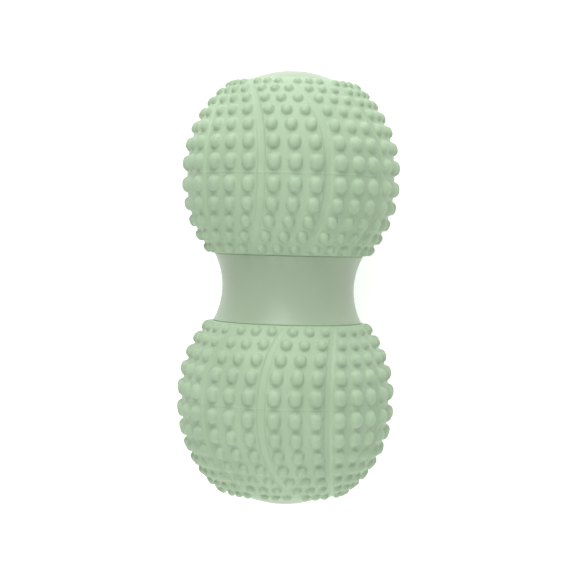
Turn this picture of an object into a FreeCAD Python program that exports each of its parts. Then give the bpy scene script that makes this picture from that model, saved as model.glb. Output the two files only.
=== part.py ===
import FreeCAD, Part
import math
import os

from FreeCAD import Vector

# Massage ball in the shape of a peanut, lying on its side.
#
# A hard core makes the smooth waist and the smooth dome at each end. A soft sleeve covers
# each of its two balls, with rows of nubs in ten gores and a shallow channel between them.
# Both sleeves are the same moulding, one of them turned end for end.
#
# Millimetres. The long axis lies along X, and the ball rests on its nubs at Z = 0. The model
# is built about the X axis and lifted at the end. Angles about the X axis start at the top.

# Two balls. The skin of a sleeve, between its nubs, is straight across its equator and
# curves to each side of that, and it bends over to a flat land round the end's opening.
BALL_SPACING = 82.2
SKIN_RADIUS = 38.2
HALF_BAND = 2.0
END_ARC = 40.3
WAIST_ARC = 41.2
LAND_ARC = 12.4
LAND_TILT = math.radians(48)
SLEEVE_WALL = 2.2

# Waist, which stands a little lower than the sleeves and has a fine gap beside each
WAIST_LENGTH = 24.5
WAIST_RADIUS = 24.4
WAIST_STEP = 0.8
SEAM_GAP = 0.15

# Smooth dome in the round opening at each end of the ball
DOME_RADIUS = 16.4
DOME_ARC = 38.0
DOME_STEP = 0.05
DOME_GAP = 0.15

# Nubs: rows start at the equator, and each row is smaller than the one before it
GORES = 10
COLUMNS = 3
COLUMN_ANGLE = 11.1
END_ROWS = 7
WAIST_ROWS = 5
ROW_PITCH = 7.8
ROW_SHRINK = 0.915
NUB_WIDTH = 5.1
NUB_LENGTH = 6.2
NUB_HEIGHT = 2.05
NUB_TOP = 0.7
NUB_ROOT = 0.7

# Each column and channel lies in a plane parallel to the long axis, this far from it. The
# columns close up where the ball is narrower than NARROW_RADIUS, and nubs lean against them.
BOW_OFFSET = 19.5
NARROW_RADIUS = 29.5
NARROW_POWER = 0.6
NUB_LEAN = 0.65

# Channels: round grooves in the skin, deepest at the equator
CHANNEL_WIDTH = 3.3
CHANNEL_DEPTH = 0.7
CHANNEL_SEAM_DEPTH = 0.15
CHANNEL_REACH = 37.0
CHANNEL_OVERRUN = 3.0

# Turn of one sleeve against the other
SLEEVE_TWIST = 3.1

EQUATOR_X = BALL_SPACING / 2
GORE_ANGLE = 360.0 / GORES
SEAM_X = WAIST_LENGTH / 2 + SEAM_GAP
OPENING_RADIUS = DOME_RADIUS + DOME_GAP
CENTRE = Vector(0, 0, 0)
X_AXIS = Vector(1, 0, 0)
Y_AXIS = Vector(0, 1, 0)
Z_AXIS = Vector(0, 0, 1)


def arc_centre(side, tilt):
    """Centre and radius of the profile's arc where its outward normal leans by tilt.

    side is 1 from the equator to the ball's end and -1 from the equator to the waist.
    """
    arc = END_ARC if side > 0 else WAIST_ARC
    centre = Vector(EQUATOR_X + side * HALF_BAND, 0, SKIN_RADIUS - arc)
    if side < 0 or tilt <= LAND_TILT:
        return centre, arc
    to_land = Vector(math.sin(LAND_TILT), 0, math.cos(LAND_TILT)) * (END_ARC - LAND_ARC)
    return centre + to_land, LAND_ARC


def profile_point(side, tilt, depth=0.0):
    """Point of the ball's profile where its outward normal leans by tilt (radians)."""
    centre, arc = arc_centre(side, tilt)
    return centre + Vector(side * math.sin(tilt), 0, math.cos(tilt)) * (arc - depth)


def tilt_at(side, distance):
    """Lean of the skin's normal at a distance from the equator, outside its straight band."""
    along_arcs = distance - HALF_BAND
    if side < 0:
        return along_arcs / WAIST_ARC
    along_land = along_arcs - END_ARC * LAND_TILT
    if along_land < 0:
        return along_arcs / END_ARC
    return LAND_TILT + along_land / LAND_ARC


def profile_arc(side, start, end, depth):
    """Edge of the profile from one tilt to another."""
    middle = (start + end) / 2
    centre, arc = arc_centre(side, middle)
    points = []
    for tilt in (start, middle, end):
        points.append(centre + Vector(side * math.sin(tilt), 0, math.cos(tilt)) * (arc - depth))
    return Part.Arc(*points).toShape()


def profile_edges(depth, waist_x, end_radius):
    """The ball's profile at a depth below the skin, from the waist seam to the opening."""
    waist_run = EQUATOR_X - HALF_BAND - waist_x
    waist_tilt = math.asin(waist_run / (WAIST_ARC - depth))
    land_centre, land_arc = arc_centre(1, math.pi / 2)
    end_tilt = math.acos((end_radius - land_centre.z) / (land_arc - depth))
    band = Part.makeLine(profile_point(-1, 0, depth), profile_point(1, 0, depth))
    return [profile_arc(-1, waist_tilt, 0, depth), band,
            profile_arc(1, 0, LAND_TILT, depth), profile_arc(1, LAND_TILT, end_tilt, depth)]


def first_point(edges):
    return edges[0].valueAt(edges[0].FirstParameter)


def last_point(edges):
    return edges[-1].valueAt(edges[-1].LastParameter)


def revolved(edges):
    """Solid of revolution about the X axis from the edges of a closed profile."""
    wire = Part.Wire(Part.sortEdges(edges)[0])
    return Part.Face(wire).revolve(CENTRE, X_AXIS, 360)


def make_core():
    """Hard body: a concave waist, two seats under the sleeves and two end domes."""
    shoulder_x = WAIST_LENGTH / 2
    seat = profile_edges(SLEEVE_WALL, shoulder_x, DOME_RADIUS)
    skin_at_seam = first_point(profile_edges(0, shoulder_x, OPENING_RADIUS))
    shoulder = Vector(shoulder_x, 0, skin_at_seam.z - WAIST_STEP)
    shoulder_mirrored = Vector(-shoulder_x, 0, shoulder.z)
    waist = Part.Arc(shoulder_mirrored, Vector(0, 0, WAIST_RADIUS), shoulder).toShape()

    sleeve_edge = last_point(profile_edges(0, shoulder_x, OPENING_RADIUS))
    dome_edge = Vector(sleeve_edge.x + DOME_STEP, 0, DOME_RADIUS)
    arc_centre_x = dome_edge.x - math.sqrt(DOME_ARC ** 2 - DOME_RADIUS ** 2)
    apex = Vector(arc_centre_x + DOME_ARC, 0, 0)
    half_lean = math.asin(DOME_RADIUS / DOME_ARC) / 2
    dome_middle = Vector(arc_centre_x + DOME_ARC * math.cos(half_lean), 0,
                         DOME_ARC * math.sin(half_lean))
    dome = Part.Arc(dome_edge, dome_middle, apex).toShape()

    right_side = [Part.makeLine(shoulder, first_point(seat))] + seat
    right_side += [Part.makeLine(last_point(seat), dome_edge), dome]
    left_side = [edge.mirror(CENTRE, X_AXIS) for edge in right_side]
    long_axis = Part.makeLine(apex, Vector(-apex.x, 0, 0))
    return revolved([waist, long_axis] + right_side + left_side)


def closed_ball(edges, corners):
    """Solid of revolution whose profile goes back by these corners to where it starts."""
    corners = [last_point(edges)] + corners + [first_point(edges)]
    sides = []
    for start, end in zip(corners, corners[1:]):
        sides.append(Part.makeLine(start, end))
    return revolved(edges + sides)


def make_filled_ball():
    """A sleeve's ball, filled and cut off square at the seam and at the opening."""
    edges = profile_edges(0, SEAM_X, OPENING_RADIUS)
    return closed_ball(edges, [Vector(last_point(edges).x, 0, 0), Vector(SEAM_X, 0, 0)])


def make_hollow():
    """What a sleeve leaves free: its inside, its opening and all that lies past the seam."""
    edges = profile_edges(SLEEVE_WALL, SEAM_X, OPENING_RADIUS)
    beyond = last_point(edges).x + SLEEVE_WALL + NUB_HEIGHT
    past_seam = SEAM_X - SLEEVE_WALL - NUB_HEIGHT
    outside = SKIN_RADIUS + NUB_HEIGHT
    return closed_ball(edges, [
        Vector(beyond, 0, OPENING_RADIUS), Vector(beyond, 0, 0), Vector(past_seam, 0, 0),
        Vector(past_seam, 0, outside), Vector(SEAM_X, 0, outside)])


def nub_rows():
    """Side, distance from the equator along the skin, and relative size of each row."""
    rows = []
    for side, count in ((1, END_ROWS), (-1, WAIST_ROWS)):
        distance = ROW_PITCH / 2
        size = 1.0
        for row in range(count):
            rows.append((side, distance, size))
            size *= ROW_SHRINK
            distance += ROW_PITCH * size
    return rows


def bow(radius):
    """Turn about the X axis, in degrees, that puts a point of this radius in its plane."""
    at_equator = math.asin(BOW_OFFSET / SKIN_RADIUS)
    return math.degrees(at_equator - math.asin(BOW_OFFSET / radius))


def nub_lean(side, tilt, radius):
    """Turn of a nub about its own height, in degrees, a share of its column's slope."""
    slope = math.atan(math.sin(tilt) * math.tan(math.asin(BOW_OFFSET / radius)))
    return -side * NUB_LEAN * math.degrees(slope)


def oval_ring(share, height):
    """Six corners of a nub's oval at a height, its long way towards the ball's ends."""
    across = NUB_WIDTH / 2 * share
    along = NUB_LENGTH / 2 * share
    corners = []
    for corner in range(6):
        angle = math.radians(30 + 60 * corner)
        corners.append(Vector(along * math.sin(angle), across * math.cos(angle), height))
    return corners


def make_nub():
    """A full-size nub on the XY plane, as a tapered stud of few flat faces."""
    slope = (1 - NUB_TOP) / NUB_HEIGHT
    root = oval_ring(1 + slope * NUB_ROOT, -NUB_ROOT)
    top = oval_ring(NUB_TOP, NUB_HEIGHT)
    faces = [Part.Face(Part.makePolygon(root + root[:1]))]
    faces.append(Part.Face(Part.makePolygon(top + top[:1])))
    for corner in range(6):
        following = (corner + 1) % 6
        side = [root[corner], root[following], top[following], top[corner], root[corner]]
        faces.append(Part.Face(Part.makePolygon(side)))
    return Part.Solid(Part.Shell(faces))


def make_nubs():
    """Every nub of a sleeve, row by row, in its place on the skin."""
    full_size = make_nub()
    middle_column = (COLUMNS - 1) / 2
    nubs = []
    for side, distance, size in nub_rows():
        tilt = tilt_at(side, distance)
        foot = profile_point(side, tilt)
        column_angle = COLUMN_ANGLE * min(1.0, foot.z / NARROW_RADIUS) ** NARROW_POWER
        nub = full_size.copy()
        nub.scale(size)
        nub.rotate(CENTRE, Z_AXIS, nub_lean(side, tilt, foot.z))
        nub.rotate(CENTRE, Y_AXIS, math.degrees(side * tilt))
        nub.translate(foot)
        for gore in range(GORES):
            for column in range(COLUMNS):
                turn = gore * GORE_ANGLE + (column - middle_column) * column_angle
                placed = nub.copy()
                placed.rotate(CENTRE, X_AXIS, turn + bow(foot.z))
                nubs.append(placed)
    return nubs


def make_channel_cutter():
    """One channel's cutter: a bead over the skin, in its plane, to the end and the waist."""
    bead_radius = (CHANNEL_WIDTH ** 2 / 4 + CHANNEL_DEPTH ** 2) / (2 * CHANNEL_DEPTH)

    def bead_centre(side, tilt, depth):
        point = profile_point(side, tilt, depth - bead_radius)
        return Vector(point.x, BOW_OFFSET, math.sqrt(point.z ** 2 - BOW_OFFSET ** 2))

    band_ends = {side: bead_centre(side, 0, CHANNEL_DEPTH) for side in (1, -1)}
    waist_tilt = math.asin((EQUATOR_X - HALF_BAND - SEAM_X) / WAIST_ARC)
    far_ends = {1: bead_centre(1, tilt_at(1, CHANNEL_REACH), 0),
                -1: bead_centre(-1, waist_tilt, CHANNEL_SEAM_DEPTH)}
    bead = Part.makeCylinder(bead_radius, 2 * HALF_BAND, band_ends[-1], X_AXIS)
    for side in (1, -1):
        circle = Part.makeCircle(bead_radius, band_ends[side], X_AXIS)
        run = abs(far_ends[side].x - band_ends[side].x)
        drop = band_ends[side].z - far_ends[side].z
        arc_radius = (run ** 2 + drop ** 2) / (2 * drop)
        sweep = math.degrees(math.atan2(run, arc_radius - drop)) + CHANNEL_OVERRUN
        below = band_ends[side] - Z_AXIS * arc_radius
        bead = bead.fuse(Part.Face(Part.Wire(circle)).revolve(below, Y_AXIS, side * sweep))
    return bead


def make_channel_cutters():
    """The cutters of a sleeve's channels, halfway between its gores."""
    to_plane = math.degrees(math.asin(BOW_OFFSET / SKIN_RADIUS))
    cutter = make_channel_cutter()
    cutters = []
    for gore in range(GORES):
        placed = cutter.copy()
        placed.rotate(CENTRE, X_AXIS, (gore + 0.5) * GORE_ANGLE + to_plane)
        cutters.append(placed)
    return cutters


def make_sleeve():
    """The sleeve on the +X ball, turned so that both sleeves rest astride a channel."""
    skin = make_filled_ball().cut(make_channel_cutters())
    sleeve = skin.multiFuse(make_nubs()).cut(make_hollow())
    sleeve.rotate(CENTRE, X_AXIS, (GORE_ANGLE - SLEEVE_TWIST) / 2)
    return sleeve


def export(shape, node, height):
    shape.translate(Z_AXIS * height)
    shape.exportStep("parts/" + node + ".step")


os.makedirs("parts", exist_ok=True)

right_sleeve = make_sleeve()
left_sleeve = right_sleeve.copy()
left_sleeve.rotate(CENTRE, Z_AXIS, 180)
axis_height = -min(corner.Z for corner in right_sleeve.Vertexes)

export(make_core(), "core", axis_height)
export(right_sleeve, "right_sleeve", axis_height)
export(left_sleeve, "left_sleeve", axis_height)
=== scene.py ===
import math

import bpy
import numpy as np
from mathutils import Matrix, Vector


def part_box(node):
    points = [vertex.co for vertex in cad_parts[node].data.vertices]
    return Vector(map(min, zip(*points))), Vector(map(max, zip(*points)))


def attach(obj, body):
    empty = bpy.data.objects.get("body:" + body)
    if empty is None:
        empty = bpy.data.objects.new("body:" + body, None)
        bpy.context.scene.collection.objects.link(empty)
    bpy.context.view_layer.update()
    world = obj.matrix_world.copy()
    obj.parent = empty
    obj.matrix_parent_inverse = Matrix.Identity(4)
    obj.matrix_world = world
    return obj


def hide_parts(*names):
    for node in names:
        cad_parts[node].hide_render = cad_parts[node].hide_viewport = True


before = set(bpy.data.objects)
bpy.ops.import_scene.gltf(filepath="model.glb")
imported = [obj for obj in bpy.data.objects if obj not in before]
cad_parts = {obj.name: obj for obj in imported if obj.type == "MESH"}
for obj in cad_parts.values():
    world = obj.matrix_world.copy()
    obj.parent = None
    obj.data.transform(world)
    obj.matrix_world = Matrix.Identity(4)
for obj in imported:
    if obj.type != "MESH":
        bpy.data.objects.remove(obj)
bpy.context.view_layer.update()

# Massage ball in the shape of a peanut: a hard core and two soft nubbed sleeves.
# Shapes are worked out in millimetres about the long axis and lifted to its height.
# Angles about the axis start at the top and grow towards the side that faces -Y.
MM = 0.001

# Two balls. The skin of a sleeve, between its nubs, is straight across its equator and
# curves to each side of that, and it bends over to a flat land round the end's opening.
EQUATOR_X = 41.1
SKIN_RADIUS = 38.2
HALF_BAND = 2.0
END_ARC = 40.3
WAIST_ARC = 41.2
LAND_ARC = 12.4
LAND_TILT = math.radians(48)
SLEEVE_WALL = 2.2

# Waist and end domes of the core, drawn up to the sleeves with no gap to be seen
WAIST_LENGTH = 24.5
WAIST_RADIUS = 24.4
WAIST_STEP = 0.8
SEAM_GAP = 0.15
DOME_RADIUS = 16.4
DOME_ARC = 38.0
DOME_STEP = 0.05
DOME_GAP = 0.15
SEAT_CLEARANCE = 0.05
TOUCH_GAP = 0.02

# Nubs: rows start at the equator, and each row is smaller than the one before it. A nub's
# height follows the size of its row to the power NUB_SINKING. Its outline is an ellipse when
# NUB_OUTLINE is 2, and squarer above that. NUB_SQUARENESS does the same for its section, and
# NUB_FULLNESS is the part of that section that stands over the skin.
GORES = 10
COLUMN_ANGLE = 11.1
ROW_COUNTS = {1: 7, -1: 5}
ROW_PITCH = 7.8
ROW_SHRINK = 0.905
NUB_WIDTH = 5.1
NUB_LENGTH = 5.75
NUB_HEIGHT = 2.05
NUB_SINKING = 0.75
NUB_OUTLINE = 2.25
NUB_FULLNESS = 0.985
NUB_SQUARENESS = 3.0
NUB_FILLET = 0.25

# Each column and channel lies in a plane parallel to the long axis, this far from it. The
# columns close up where the ball is narrower than NARROW_RADIUS, and nubs lean with them.
BOW_OFFSET = 19.5
NARROW_RADIUS = 29.5
NARROW_POWER = 0.6
NUB_LEAN = 0.65

# Channels: shallow grooves in the skin with nearly flat floors, deepest at the equator. The
# end depths are those at the ball's end, where the channel runs out, and at the seam.
CHANNEL_WIDTH = 3.3
CHANNEL_DEPTH = 0.7
CHANNEL_END_DEPTHS = {1: 0.0, -1: 0.15}
CHANNEL_REACH = 37.0
CHANNEL_TAPER = 2.3
CHANNEL_SQUARENESS = 5.0
CHANNEL_FILLET = 0.08

# Fine line that the mould leaves round each ball's equator. It stops where a nub is higher
# than PARTING_STOP.
PARTING_HEIGHT = 0.14
PARTING_WIDTH = 0.25
PARTING_STOP = 0.2

# Turn of one sleeve against the other, in degrees, and size of the rounding on edges
SLEEVE_TWIST = 3.1
EDGE_ROUNDING = 0.35

# Fineness of the meshes. The lines over a nub are at these shares of its half width and
# length, those at the equator are at these shares of the parting line's width, and there are
# this many steps from one nub to the next.
NUB_LINES = np.array((-1.06, -0.95, -0.83, -0.65, -0.35, 0.0, 0.35, 0.65, 0.83, 0.95, 1.06))
PARTING_LINES = (0.0, 0.6, 1.2, 2.0)
ROW_GAP_STEPS = 2
COLUMN_GAP_STEPS = 5
CHANNEL_STEPS = 16
LAND_STEPS = 6
ROUNDING_STEPS = 4
INSIDE_STEPS = 8
CORE_SEGMENTS = 288
WAIST_POINTS = 26
SEAT_POINTS = 24
DOME_POINTS = 32
POLE_RADIUS = 0.001

# Limits that keep the sums in range: the smallest that a row counts as, how far from a nub or
# a channel is still told apart, and the shallowest depth that gives a channel its width
SMALLEST_SIZE = 0.4
FAR_FROM_NUB = 9.0
FAR_FROM_CHANNEL = 3.0
SHALLOWEST_CHANNEL = 0.01

# Patches of two close tones and a fine grain on both materials
PATCH_SCALE = 60.0
PATCH_DETAIL = 3.0
PATCH_LIMITS = (0.3, 0.7)
GRAIN_DETAIL = 2.0

# Camera, at the photograph's viewing angle: millimetres and degrees
CAMERA_DISTANCE = 560.0
CAMERA_LENS = 94.4
CAMERA_SENSOR = 36.0
CAMERA_NEAR = 0.01
CAMERA_TURN = 14.25
CAMERA_LEAN = 1.95
CAMERA_ROLL = 1.50

# Floor, world and soft square lamps. A lamp's place, from the middle of the object, and its
# width are in metres, and its power is in watts.
FLOOR_REACH = 4.0
FLOOR_TONE = 0.9
FLOOR_GLOW = 0.7
WORLD_LEVEL = 0.36
LAMPS = {
    "light_top": ((0.75, 0.0, 0.36), 0.7, 3.6),
    "light_bottom": ((-0.75, 0.0, 0.36), 0.7, 2.8),
    "light_right": ((0.0, -0.75, 0.36), 0.7, 0.4),
    "light_left": ((0.0, 0.75, 0.36), 0.7, 0.2),
    "light_high": ((0.5, 0.0, 0.65), 0.4, 1.5),
}

SEAM_X = WAIST_LENGTH / 2 + SEAM_GAP
OPENING_RADIUS = DOME_RADIUS + DOME_GAP
GORE_ANGLE = 360.0 / GORES
core_low, core_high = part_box("core")
AXIS_HEIGHT = (core_low.z + core_high.z) / 2
CENTRE = Vector((0.0, 0.0, AXIS_HEIGHT))


def profile(distance, depth=0.0):
    """x, radius and tilt of the ball's profile at a distance along the skin from the equator.

    The distance is positive towards the ball's end and negative towards the waist.
    """
    distance = np.asarray(distance, float)
    side = np.where(distance >= 0, 1.0, -1.0)
    arc = np.where(distance >= 0, END_ARC, WAIST_ARC)
    beyond_band = np.maximum(np.abs(distance) - HALF_BAND, 0.0)
    tilt = np.minimum(beyond_band / arc, np.where(distance >= 0, LAND_TILT, math.pi))
    on_land = np.maximum(beyond_band - tilt * arc, 0.0)
    land_tilt = tilt + on_land / LAND_ARC
    last_arc = np.where(on_land > 0, LAND_ARC, arc)
    run = (arc - last_arc) * np.sin(tilt) + (last_arc - depth) * np.sin(land_tilt)
    drop = (arc - last_arc) * np.cos(tilt) + (last_arc - depth) * np.cos(land_tilt)
    x = EQUATOR_X + np.clip(distance, -HALF_BAND, HALF_BAND) + side * run
    return x, SKIN_RADIUS - arc + drop, land_tilt


def skin_ends(depth=0.0):
    """Distances from the equator, measured on the skin, of the seam and of the opening."""
    waist_tilt = math.asin((EQUATOR_X - HALF_BAND - SEAM_X) / (WAIST_ARC - depth))
    land_radius = SKIN_RADIUS - END_ARC + (END_ARC - LAND_ARC) * math.cos(LAND_TILT)
    end_tilt = math.acos((OPENING_RADIUS - land_radius) / (LAND_ARC - depth))
    return (-HALF_BAND - WAIST_ARC * waist_tilt,
            HALF_BAND + END_ARC * LAND_TILT + LAND_ARC * (end_tilt - LAND_TILT))


def rows(side):
    """Distance from the equator and relative size of each row on one side of it."""
    found = []
    distance = ROW_PITCH / 2
    size = 1.0
    for row in range(ROW_COUNTS[side]):
        found.append((distance, size))
        size *= ROW_SHRINK
        distance += ROW_PITCH * size
    return found


def row_size(distance):
    """Relative size that a row has at a distance from the equator."""
    beyond_first = np.abs(distance) - ROW_PITCH / 2
    size = 1 - beyond_first * (1 - ROW_SHRINK) / (ROW_PITCH * ROW_SHRINK)
    return np.clip(size, SMALLEST_SIZE, 1.0)


def row_radius(distance):
    """Radius of the skin, which past the end's last row counts as it is at that row."""
    return profile(np.minimum(distance, rows(1)[-1][0]))[1]


def column_angle(distance):
    """Angle from one column to the next, in radians, at a distance from the equator."""
    narrow = np.minimum(row_radius(distance) / NARROW_RADIUS, 1.0) ** NARROW_POWER
    return math.radians(COLUMN_ANGLE) * narrow


def bow(distance):
    """Turn about the axis, in radians, that puts a point of the skin in its plane."""
    return math.asin(BOW_OFFSET / SKIN_RADIUS) - np.arcsin(BOW_OFFSET / row_radius(distance))


def bow_slope(distance):
    """Angle between a column and the ball's meridian, without its sign."""
    tilt = profile(distance)[2]
    return np.arctan(np.sin(tilt) * np.tan(np.arcsin(BOW_OFFSET / row_radius(distance))))


def smooth_floor(height, softness):
    """The larger of height and zero, with a soft bend where they meet."""
    bend = np.maximum(softness - np.abs(height), 0.0) ** 2 / (4 * softness)
    return np.maximum(height, 0.0) + bend


def wrapped(angle):
    """An angle brought into one gore, with zero in the middle of it."""
    gore = math.radians(GORE_ANGLE)
    return (angle + gore / 2) % gore - gore / 2


def nub_dome(share, height):
    """Height of a nub at a share of its oval, 0 in the middle and 1 at its edge."""
    edge = math.sqrt(1 - NUB_FULLNESS ** NUB_SQUARENESS)
    inside = np.sqrt(1 - (NUB_FULLNESS * np.minimum(share, 1.0)) ** NUB_SQUARENESS)
    edge_slope = NUB_SQUARENESS / 2 * NUB_FULLNESS ** NUB_SQUARENESS / edge
    dome = inside - edge - edge_slope * np.maximum(share - 1.0, 0.0)
    return height * dome / (1 - edge)


def nub_heights(distance, angle):
    """Height of the nubs over the skin at each point of a sleeve's grid."""
    total = np.zeros_like(distance)
    radius = profile(distance)[1]
    for side in (1, -1):
        for row_distance, size in rows(side):
            middle = side * row_distance
            along = distance - middle
            lean = -side * NUB_LEAN * float(bow_slope(middle))
            for column in (-1, 0, 1):
                centre = column * float(column_angle(middle)) + float(bow(middle))
                across = wrapped(angle - centre) * radius
                turned_across = across * math.cos(lean) + along * math.sin(lean)
                turned_along = along * math.cos(lean) - across * math.sin(lean)
                share = (np.abs(turned_across / (NUB_WIDTH * size / 2)) ** NUB_OUTLINE
                         + np.abs(turned_along / (NUB_LENGTH * size / 2)) ** NUB_OUTLINE)
                share = np.minimum(share, FAR_FROM_NUB) ** (1 / NUB_OUTLINE)
                height = NUB_HEIGHT * size ** NUB_SINKING
                total = np.maximum(total, smooth_floor(nub_dome(share, height), NUB_FILLET))
    return total


def channel_depths(distance, grid_angle):
    """Depth of the channels between the gores at each point of a sleeve's grid."""
    seam = skin_ends()[0]
    reach = np.where(distance >= 0, CHANNEL_REACH, -seam)
    last_depth = np.where(distance >= 0, CHANNEL_END_DEPTHS[1], CHANNEL_END_DEPTHS[-1])
    share = np.clip((np.abs(distance) - HALF_BAND) / (reach - HALF_BAND), 0.0, 1.0)
    depth = CHANNEL_DEPTH - (CHANNEL_DEPTH - last_depth) * share ** CHANNEL_TAPER
    bead = (CHANNEL_WIDTH ** 2 / 4 + CHANNEL_DEPTH ** 2) / (2 * CHANNEL_DEPTH)
    half_gore = math.radians(GORE_ANGLE) / 2
    across = wrapped(grid_angle - half_gore) * profile(distance)[1] * np.cos(bow_slope(distance))
    half_width = np.sqrt(bead ** 2 - (bead - np.maximum(depth, SHALLOWEST_CHANNEL)) ** 2)
    from_middle = np.minimum(np.abs(across) / half_width, FAR_FROM_CHANNEL)
    dip = depth * (1 - from_middle ** CHANNEL_SQUARENESS)
    return smooth_floor(dip, CHANNEL_FILLET)


def skin_lines():
    """Distances of the grid's lines round a sleeve, from the seam to the opening."""
    seam, opening = skin_ends()
    lines = {}
    for side, edge in ((1, opening - EDGE_ROUNDING), (-1, -seam - EDGE_ROUNDING)):
        run = [PARTING_WIDTH * share for share in PARTING_LINES]
        for distance, size in rows(side):
            over_nub = distance + NUB_LENGTH / 2 * size * NUB_LINES
            run.extend(np.linspace(run[-1], over_nub[0], ROW_GAP_STEPS + 1)[1:-1])
            run.extend(over_nub)
        run = [distance for distance in run if distance < edge - EDGE_ROUNDING]
        steps = LAND_STEPS if side > 0 else 1
        run.extend(np.linspace(run[-1], edge, steps + 1)[1:])
        lines[side] = np.array(run)
    return np.concatenate([-lines[-1][:0:-1], lines[1]])


def grid_angles(distance):
    """Angles of the grid's lines along a sleeve, before the bow, one row for each distance."""
    gore = math.radians(GORE_ANGLE)
    half_width = NUB_WIDTH / 2 * row_size(distance) / row_radius(distance)
    columns = []
    for column in (-1, 0, 1):
        columns.append(column * column_angle(distance)[:, None] + half_width[:, None] * NUB_LINES)
    columns.append(columns[0] + gore)
    one_gore = []
    for number, steps in enumerate((COLUMN_GAP_STEPS, COLUMN_GAP_STEPS, CHANNEL_STEPS)):
        start = columns[number][:, -1:]
        stop = columns[number + 1][:, :1]
        between = start + (stop - start) * np.linspace(0, 1, steps + 1)[1:-1]
        one_gore.extend((columns[number], between))
    one_gore = np.concatenate(one_gore, axis=1)
    return np.concatenate([one_gore + gore * number for number in range(GORES)], axis=1)


def rounded_corner(start, corner, end):
    """Points of a soft bend from start to end, without start."""
    points = []
    for step in range(1, ROUNDING_STEPS + 1):
        share = step / ROUNDING_STEPS
        points.append((1 - share) ** 2 * np.array(start) + 2 * share * (1 - share)
                      * np.array(corner) + share ** 2 * np.array(end))
    return points


def ring(x, radius, angles):
    """A row of points round the axis."""
    x = np.broadcast_to(x, angles.shape)
    radius = np.broadcast_to(radius, angles.shape)
    return np.stack([x, -radius * np.sin(angles), radius * np.cos(angles)], axis=-1)


def sleeve_points():
    """Rows of points of a sleeve: its skin, the opening, the inside and the seam."""
    seam, opening = skin_ends()
    lines = skin_lines()
    grid_angle = grid_angles(lines)
    distance = np.broadcast_to(lines[:, None], grid_angle.shape)
    angle = grid_angle + bow(distance)
    nubs = nub_heights(distance, angle)
    parting = PARTING_HEIGHT * np.exp(-(distance / PARTING_WIDTH) ** 2)
    channels = channel_depths(distance, grid_angle)
    height = nubs + parting * (nubs < PARTING_STOP) - channels * (1 - np.clip(nubs, 0, 1))
    x, radius = profile(distance, -height)[:2]
    point_rows = list(ring(x, radius, angle))

    def smooth_row(place, angle_row):
        point_rows.append(ring(place[0], place[1], angle_row))

    opening_x, opening_radius = profile(opening)[:2]
    inner_seam, inner_opening = skin_ends(SLEEVE_WALL)
    start = profile(lines[-1])[:2]
    for place in rounded_corner(start, (opening_x, opening_radius),
                                (opening_x - EDGE_ROUNDING, opening_radius)):
        smooth_row(place, angle[-1])
    for distance_inside in np.linspace(inner_opening, inner_seam, INSIDE_STEPS):
        place = profile(distance_inside, SLEEVE_WALL)[:2]
        share = (distance_inside - inner_seam) / (inner_opening - inner_seam)
        smooth_row(place, angle[-1] * share + angle[0] * (1 - share))
    seam_x, seam_radius = profile(seam)[:2]
    below_edge = (seam_x, seam_radius - EDGE_ROUNDING)
    smooth_row(below_edge, angle[0])
    for place in rounded_corner(below_edge, (seam_x, seam_radius), profile(lines[0])[:2])[:-1]:
        smooth_row(place, angle[0])
    return np.array(point_rows)


def closed_grid(name, points, wrap_rows):
    """Mesh object from rows of points round the axis."""
    row_count, around = points.shape[:2]
    index = np.arange(row_count * around).reshape(row_count, around)
    following = np.roll(index, -1, axis=1)
    upper = np.roll(index, -1, axis=0)
    upper_following = np.roll(following, -1, axis=0)
    faces = np.stack([index, following, upper_following, upper], axis=-1)
    if not wrap_rows:
        faces = faces[:-1]
    mesh = bpy.data.meshes.new(name)
    mesh.from_pydata((points.reshape(-1, 3) * MM).tolist(), [], faces.reshape(-1, 4).tolist())
    mesh.polygons.foreach_set("use_smooth", np.ones(len(mesh.polygons), bool))
    piece = bpy.data.objects.new(name, mesh)
    bpy.context.scene.collection.objects.link(piece)
    return piece


def core_outline():
    """x and radius of the right half of the core, from the waist's middle to the end."""
    shoulder_x = WAIST_LENGTH / 2
    skin_tilt = math.asin((EQUATOR_X - HALF_BAND - shoulder_x) / WAIST_ARC)
    skin_radius = SKIN_RADIUS - WAIST_ARC + WAIST_ARC * math.cos(skin_tilt)
    rise = skin_radius - WAIST_STEP - WAIST_RADIUS
    waist_arc = (shoulder_x ** 2 + rise ** 2) / (2 * rise)
    outline = []
    for x in np.linspace(0, SEAM_X - TOUCH_GAP, WAIST_POINTS):
        outline.append((x, WAIST_RADIUS + waist_arc - math.sqrt(waist_arc ** 2 - x ** 2)))
    depth = SLEEVE_WALL + SEAT_CLEARANCE
    seat_start, seat_end = skin_ends(depth)
    outline.append((SEAM_X - TOUCH_GAP, float(profile(seat_start, depth)[1])))
    for distance in np.linspace(seat_start, seat_end, SEAT_POINTS)[1:]:
        outline.append(tuple(float(value) for value in profile(distance, depth)[:2]))
    dome_radius = OPENING_RADIUS - TOUCH_GAP
    dome_edge_x = float(profile(skin_ends()[1])[0]) + DOME_STEP
    centre_x = dome_edge_x - math.sqrt(DOME_ARC ** 2 - DOME_RADIUS ** 2)
    edge_lean = math.asin(dome_radius / DOME_ARC)
    outline.append((outline[-1][0], dome_radius))
    outline.append((centre_x + DOME_ARC * math.cos(edge_lean) - EDGE_ROUNDING, dome_radius))
    for share in np.linspace(1.0, 0.0, DOME_POINTS):
        lean = edge_lean * share
        outline.append((centre_x + DOME_ARC * math.cos(lean), DOME_ARC * math.sin(lean)))
    return [(float(x), float(radius)) for x, radius in outline]


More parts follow.
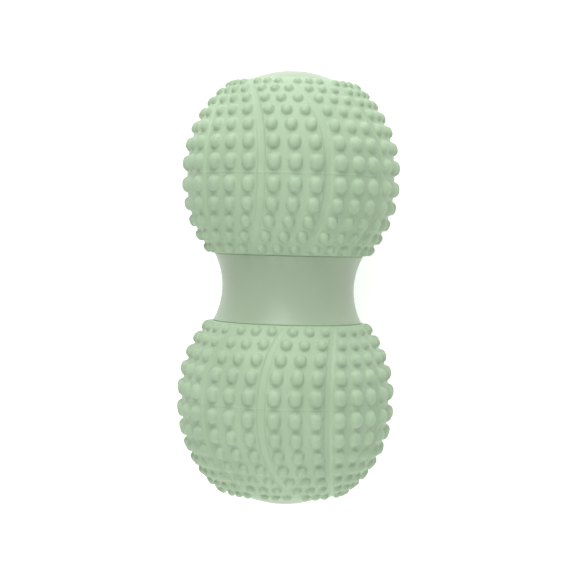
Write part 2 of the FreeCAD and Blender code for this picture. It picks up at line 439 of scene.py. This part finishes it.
def make_core():
    """The hard body, turned in one piece: waist, seats under the sleeves, and end domes."""
    right_half = core_outline()
    left_half = [(-x, radius) for x, radius in reversed(right_half[1:])]
    angles = np.linspace(0, 2 * math.pi, CORE_SEGMENTS, endpoint=False)
    points = np.array([ring(x, max(radius, POLE_RADIUS), angles)
                       for x, radius in left_half + right_half])
    return closed_grid("core_body", points, wrap_rows=False)


def srgb(red, green, blue):
    """Linear colour from 0-255 screen values."""
    def linear(value):
        value = value / 255
        return value / 12.92 if value <= 0.04045 else ((value + 0.055) / 1.055) ** 2.4
    return (linear(red), linear(green), linear(blue), 1.0)


def moulded_material(name, pale, deep, roughness, grain_scale, grain_height):
    """A moulded surface: two close tones in soft patches, and a fine even grain."""
    material = bpy.data.materials.new(name)
    material.use_nodes = True
    nodes = material.node_tree.nodes
    links = material.node_tree.links
    shader = nodes["Principled BSDF"]
    shader.inputs["Roughness"].default_value = roughness
    place = nodes.new("ShaderNodeTexCoord")
    patches = nodes.new("ShaderNodeTexNoise")
    patches.inputs["Scale"].default_value = PATCH_SCALE
    patches.inputs["Detail"].default_value = PATCH_DETAIL
    links.new(place.outputs["Object"], patches.inputs["Vector"])
    tones = nodes.new("ShaderNodeValToRGB")
    tones.color_ramp.elements[0].position = PATCH_LIMITS[0]
    tones.color_ramp.elements[0].color = deep
    tones.color_ramp.elements[1].position = PATCH_LIMITS[1]
    tones.color_ramp.elements[1].color = pale
    links.new(patches.outputs["Fac"], tones.inputs["Fac"])
    links.new(tones.outputs["Color"], shader.inputs["Base Color"])
    grain = nodes.new("ShaderNodeTexNoise")
    grain.inputs["Scale"].default_value = grain_scale
    grain.inputs["Detail"].default_value = GRAIN_DETAIL
    links.new(place.outputs["Object"], grain.inputs["Vector"])
    bump = nodes.new("ShaderNodeBump")
    bump.inputs["Strength"].default_value = 1.0
    bump.inputs["Distance"].default_value = grain_height
    links.new(grain.outputs["Fac"], bump.inputs["Height"])
    links.new(bump.outputs["Normal"], shader.inputs["Normal"])
    return material


def white_to_camera(tree, share):
    """Socket that gives this share of white to camera, glossy and transmission rays."""
    nodes = tree.nodes
    links = tree.links
    path = nodes.new("ShaderNodeLightPath")
    first = nodes.new("ShaderNodeMath")
    first.operation = "MAXIMUM"
    links.new(path.outputs["Is Camera Ray"], first.inputs[0])
    links.new(path.outputs["Is Glossy Ray"], first.inputs[1])
    second = nodes.new("ShaderNodeMath")
    second.operation = "MAXIMUM"
    links.new(first.outputs[0], second.inputs[0])
    links.new(path.outputs["Is Transmission Ray"], second.inputs[1])
    scaled = nodes.new("ShaderNodeMath")
    scaled.operation = "MULTIPLY"
    scaled.inputs[1].default_value = share
    links.new(second.outputs[0], scaled.inputs[0])
    return scaled.outputs[0]


def make_floor():
    """Wide pale floor, white to the camera except where the object shades it."""
    mesh = bpy.data.meshes.new("floor")
    corners = [(x * FLOOR_REACH, y * FLOOR_REACH, 0)
               for x, y in ((-1, -1), (1, -1), (1, 1), (-1, 1))]
    mesh.from_pydata(corners, [], [(0, 1, 2, 3)])
    floor = bpy.data.objects.new("floor", mesh)
    bpy.context.scene.collection.objects.link(floor)
    material = bpy.data.materials.new("floor_white")
    material.use_nodes = True
    nodes = material.node_tree.nodes
    links = material.node_tree.links
    nodes.clear()
    diffuse = nodes.new("ShaderNodeBsdfDiffuse")
    diffuse.inputs["Color"].default_value = (FLOOR_TONE, FLOOR_TONE, FLOOR_TONE, 1.0)
    glow = nodes.new("ShaderNodeEmission")
    share = white_to_camera(material.node_tree, FLOOR_GLOW)
    links.new(share, glow.inputs["Strength"])
    both = nodes.new("ShaderNodeAddShader")
    links.new(diffuse.outputs[0], both.inputs[0])
    links.new(glow.outputs[0], both.inputs[1])
    output = nodes.new("ShaderNodeOutputMaterial")
    links.new(both.outputs[0], output.inputs["Surface"])
    mesh.materials.append(material)


def make_world(level):
    """Soft even light from all round, seen as white."""
    world = bpy.data.worlds.new("studio")
    bpy.context.scene.world = world
    world.use_nodes = True
    nodes = world.node_tree.nodes
    links = world.node_tree.links
    background = nodes["Background"]
    background.inputs["Color"].default_value = (1.0, 1.0, 1.0, 1.0)
    share = white_to_camera(world.node_tree, 1.0 - level)
    strength = nodes.new("ShaderNodeMath")
    strength.operation = "ADD"
    strength.inputs[1].default_value = level
    links.new(share, strength.inputs[0])
    links.new(strength.outputs[0], background.inputs["Strength"])


def soft_light(name, place, width, power):
    """Square soft light that faces the middle of the object; place is in metres."""
    lamp = bpy.data.lights.new(name, "AREA")
    lamp.size = width
    lamp.energy = power
    light = bpy.data.objects.new(name, lamp)
    light.location = CENTRE + Vector(place)
    light.rotation_euler = Vector(place).to_track_quat("Z", "Y").to_euler()
    bpy.context.scene.collection.objects.link(light)


def make_camera():
    """Camera above the object, with the object's +X end towards the top of the picture."""
    turn = math.radians(CAMERA_TURN)
    lean = math.radians(CAMERA_LEAN)
    roll = math.radians(CAMERA_ROLL)
    along = Vector((1.0, 0.0, 0.0))
    above = Vector((0.0, -math.sin(turn), math.cos(turn)))
    towards = above * math.cos(lean) + along * math.sin(lean)
    object_up = (along - towards * along.dot(towards)).normalized()
    object_right = object_up.cross(towards)
    up = object_up * math.cos(roll) - object_right * math.sin(roll)
    right = object_right * math.cos(roll) + object_up * math.sin(roll)
    data = bpy.data.cameras.new("camera")
    data.lens = CAMERA_LENS
    data.sensor_width = CAMERA_SENSOR
    data.clip_start = CAMERA_NEAR
    camera = bpy.data.objects.new("camera", data)
    turned = Matrix((right, up, towards)).transposed().to_4x4()
    camera.matrix_world = Matrix.Translation(CENTRE + towards * CAMERA_DISTANCE * MM) @ turned
    bpy.context.scene.collection.objects.link(camera)
    bpy.context.scene.camera = camera


make_camera()

rubber = moulded_material("soft_rubber", pale=srgb(186, 211, 178), deep=srgb(178, 203, 170),
                          roughness=0.55, grain_scale=2600.0, grain_height=0.00003)
plastic = moulded_material("satin_plastic", pale=srgb(176, 196, 168), deep=srgb(171, 191, 163),
                           roughness=0.38, grain_scale=4000.0, grain_height=0.00001)

sleeve_turn = math.radians((GORE_ANGLE - SLEEVE_TWIST) / 2)
lift = Matrix.Translation((0, 0, AXIS_HEIGHT))
points = sleeve_points()
for name, end_turn in (("right_sleeve", 0.0), ("left_sleeve", math.pi)):
    piece = closed_grid(name + "_rubber", points, wrap_rows=True)
    turned = Matrix.Rotation(end_turn, 4, "Z") @ Matrix.Rotation(sleeve_turn, 4, "X")
    piece.data.transform(lift @ turned)
    piece.data.materials.append(rubber)
    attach(piece, "root")
    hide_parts(name)

core_piece = make_core()
core_piece.data.transform(lift)
core_piece.data.materials.append(plastic)
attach(core_piece, "root")
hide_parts("core")

make_floor()
make_world(WORLD_LEVEL)
for name, (place, width, power) in LAMPS.items():
    soft_light(name, place, width, power)

bpy.context.scene.view_settings.view_transform = "Standard"
